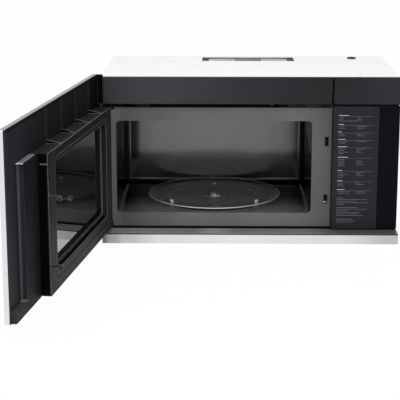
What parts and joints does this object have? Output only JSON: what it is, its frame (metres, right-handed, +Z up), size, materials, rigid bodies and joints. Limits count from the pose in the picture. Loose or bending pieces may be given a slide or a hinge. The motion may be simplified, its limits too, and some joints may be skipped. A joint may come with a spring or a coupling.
{
  "type": "over the range microwave",
  "caption": "Over the range microwave: case with oven cavity, glass turntable, exhaust blower and grease filters, and a full width side-hinged door standing open.",
  "frame": {"origin": "middle of the case's underside", "axes": "+Z up, +Y towards the wall behind, -Y towards the user, +X to the user's right"},
  "size_m": [0.8911, 1.1547, 0.4334],
  "materials": {
    "galvanised": "galvanised sheet",
    "face_grey": "satin grey paint",
    "oven_enamel": "speckled grey enamel",
    "trim_satin": "satin dark blue grey",
    "panel_dark": "satin near black",
    "label_film": "printed film",
    "bezel_brushed": "brushed",
    "door_silver": "satin silver",
    "door_plastic": "fine grain",
    "frame_black": "satin dark paint",
    "glass_black": "dark float glass",
    "glass_clear": "clear float glass",
    "screen_black": "perforated sheet",
    "zinc_steel": "zinc plated",
    "bracket_black": "black",
    "ring_plastic": "moulded",
    "motor_metal": "pressed steel",
    "magnetron_alloy": "mill finish",
    "core_iron": "varnished laminations",
    "can_alloy": "drawn can",
    "board_green": "circuit board",
    "fan_grey": "moulded",
    "bracket_white": "moulded",
    "filter_mesh": "knitted mesh",
    "charcoal": "charcoal pellets",
    "lens_clear": "frosted lens",
    "lamp_white": "lamp holder",
    "grommet_rubber": "moulded rubber",
    "mica": "mica sheet"
  },
  "bodies": {
    "cabinet": {"outer_wrapper": "galvanised", "rear_panel": "galvanised", "base_pan": "galvanised", "wrapper_screws": "zinc_steel", "grease_filter_left": "filter_mesh", "grease_filter_right": "filter_mesh", "lamp_lenses": "lens_clear", "cooktop_lamps": "lamp_white", "front_plate": "face_grey", "hinge_screws": "zinc_steel", "hinge_bracket_upper": "bracket_black", "hinge_bracket_lower": "bracket_black", "top_trim_left": "trim_satin", "top_trim_right": "trim_satin", "bottom_bezel": "bezel_brushed", "side_panel": "panel_dark", "guide_label": "label_film", "cavity_shell": "oven_enamel", "waveguide_cover": "mica", "cavity_lamp": "lamp_white", "turntable_motor": "motor_metal", "interlock_frame": "bracket_white", "interlock_switches": "fan_grey", "waveguide": "galvanised", "magnetron": "magnetron_alloy", "hv_transformer": "core_iron", "hv_capacitor": "can_alloy", "cooling_fan_shroud": "fan_grey", "cooling_fan_motor": "motor_metal", "line_filter_board": "board_green", "exhaust_blower_housing": "galvanised", "blower_motor": "motor_metal", "charcoal_filter": "charcoal", "cable_inlet": "grommet_rubber"},
    "door": {"door_skin": "door_silver", "door_front_glass": "glass_black", "door_backing": "door_plastic", "door_inner_frame": "frame_black", "choke_cover": "door_plastic", "window_inner_pane": "glass_clear", "window_screen": "screen_black", "touch_board": "board_green", "door_screws": "zinc_steel", "hinge_pins": "zinc_steel"},
    "latch": {"latch_lever": "ring_plastic", "latch_spring": "zinc_steel"},
    "tray": {"glass_tray": "glass_clear"},
    "coupler": {"drive_coupler": "ring_plastic"},
    "roller_ring": {"roller_ring": "ring_plastic"},
    "roller_front_left": {"roller_front_left": "ring_plastic"},
    "roller_front_right": {"roller_front_right": "ring_plastic"},
    "roller_back": {"roller_back": "ring_plastic"},
    "cooling_fan": {"cooling_fan_blade": "fan_grey"},
    "blower_rotor": {"blower_shaft": "zinc_steel", "blower_wheel_left": "fan_grey", "blower_wheel_right": "fan_grey"}
  },
  "joints": [
    {"name": "door_hinge", "type": "hinge", "parent": "cabinet", "child": "door", "pos_m": [-0.3735, -0.216, 0.2], "axis": [0, 0, 1], "range_deg": [-6.5, 98.43]},
    {"name": "latch_slide", "type": "slide", "parent": "door", "child": "latch", "axis": [0, 0, 1], "range_m": [0, 0.004], "stiffness_N_per_m": 150, "springref_m": -0.003, "deforming": ["latch_spring"]},
    {"name": "tray_spin", "type": "hinge", "parent": "cabinet", "child": "tray", "pos_m": [-0.09295, -0.007, 0.075], "axis": [0, 0, 1], "continuous": true},
    {"name": "coupler_spin", "type": "hinge", "parent": "cabinet", "child": "coupler", "pos_m": [-0.09295, -0.007, 0.06], "axis": [0, 0, 1], "continuous": true},
    {"name": "ring_spin", "type": "hinge", "parent": "cabinet", "child": "roller_ring", "pos_m": [-0.09295, -0.007, 0.0654], "axis": [0, 0, 1], "continuous": true},
    {"name": "roller_front_left_spin", "type": "hinge", "parent": "roller_ring", "child": "roller_front_left", "pos_m": [-0.20727, -0.073, 0.0654], "axis": [-0.866, -0.5, 0], "continuous": true},
    {"name": "roller_front_right_spin", "type": "hinge", "parent": "roller_ring", "child": "roller_front_right", "pos_m": [0.02137, -0.073, 0.0654], "axis": [0.866, -0.5, 0], "continuous": true},
    {"name": "roller_back_spin", "type": "hinge", "parent": "roller_ring", "child": "roller_back", "pos_m": [-0.09295, 0.125, 0.0654], "axis": [0, 1, 0], "continuous": true},
    {"name": "cooling_fan_spin", "type": "hinge", "parent": "cabinet", "child": "cooling_fan", "pos_m": [0.3125, 0.17, 0.14], "axis": [0, 1, 0], "continuous": true},
    {"name": "blower_spin", "type": "hinge", "parent": "cabinet", "child": "blower_rotor", "pos_m": [0, 0.12, 0.368], "axis": [1, 0, 0], "continuous": true}
  ],
  "couplings": [
    {"joint": "coupler_spin", "follows": "tray_spin", "ratio": 1},
    {"joint": "ring_spin", "follows": "tray_spin", "ratio": 0.5},
    {"joint": "roller_front_left_spin", "follows": "tray_spin", "ratio": -10},
    {"joint": "roller_front_right_spin", "follows": "tray_spin", "ratio": -10},
    {"joint": "roller_back_spin", "follows": "tray_spin", "ratio": -10}
  ]
}
